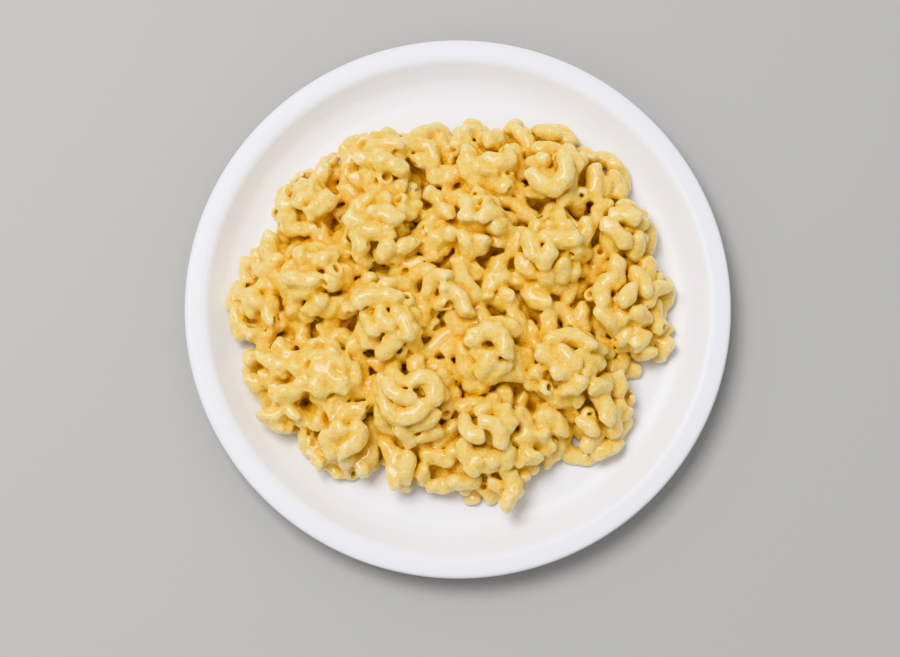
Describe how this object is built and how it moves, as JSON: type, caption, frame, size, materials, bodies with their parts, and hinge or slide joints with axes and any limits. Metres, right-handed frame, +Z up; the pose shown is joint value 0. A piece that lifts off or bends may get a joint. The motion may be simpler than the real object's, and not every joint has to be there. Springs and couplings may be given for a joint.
{
  "type": "plate of macaroni and cheese",
  "caption": "Round white dinner plate with a raised rim, holding a heaped helping of elbow macaroni in cheese sauce.",
  "frame": {"origin": "on the table, under the middle of the plate", "axes": "+Z up, +X to the eater's right, +Y away from the eater"},
  "size_m": [0.2286, 0.2286, 0.0429],
  "materials": {
    "porcelain": "glossy white glaze",
    "sauced_macaroni": "moist, softly glossy cheese sauce"
  },
  "bodies": {
    "root": {"plate": "porcelain", "macaroni_cheese": "sauced_macaroni"}
  },
  "joints": []
}
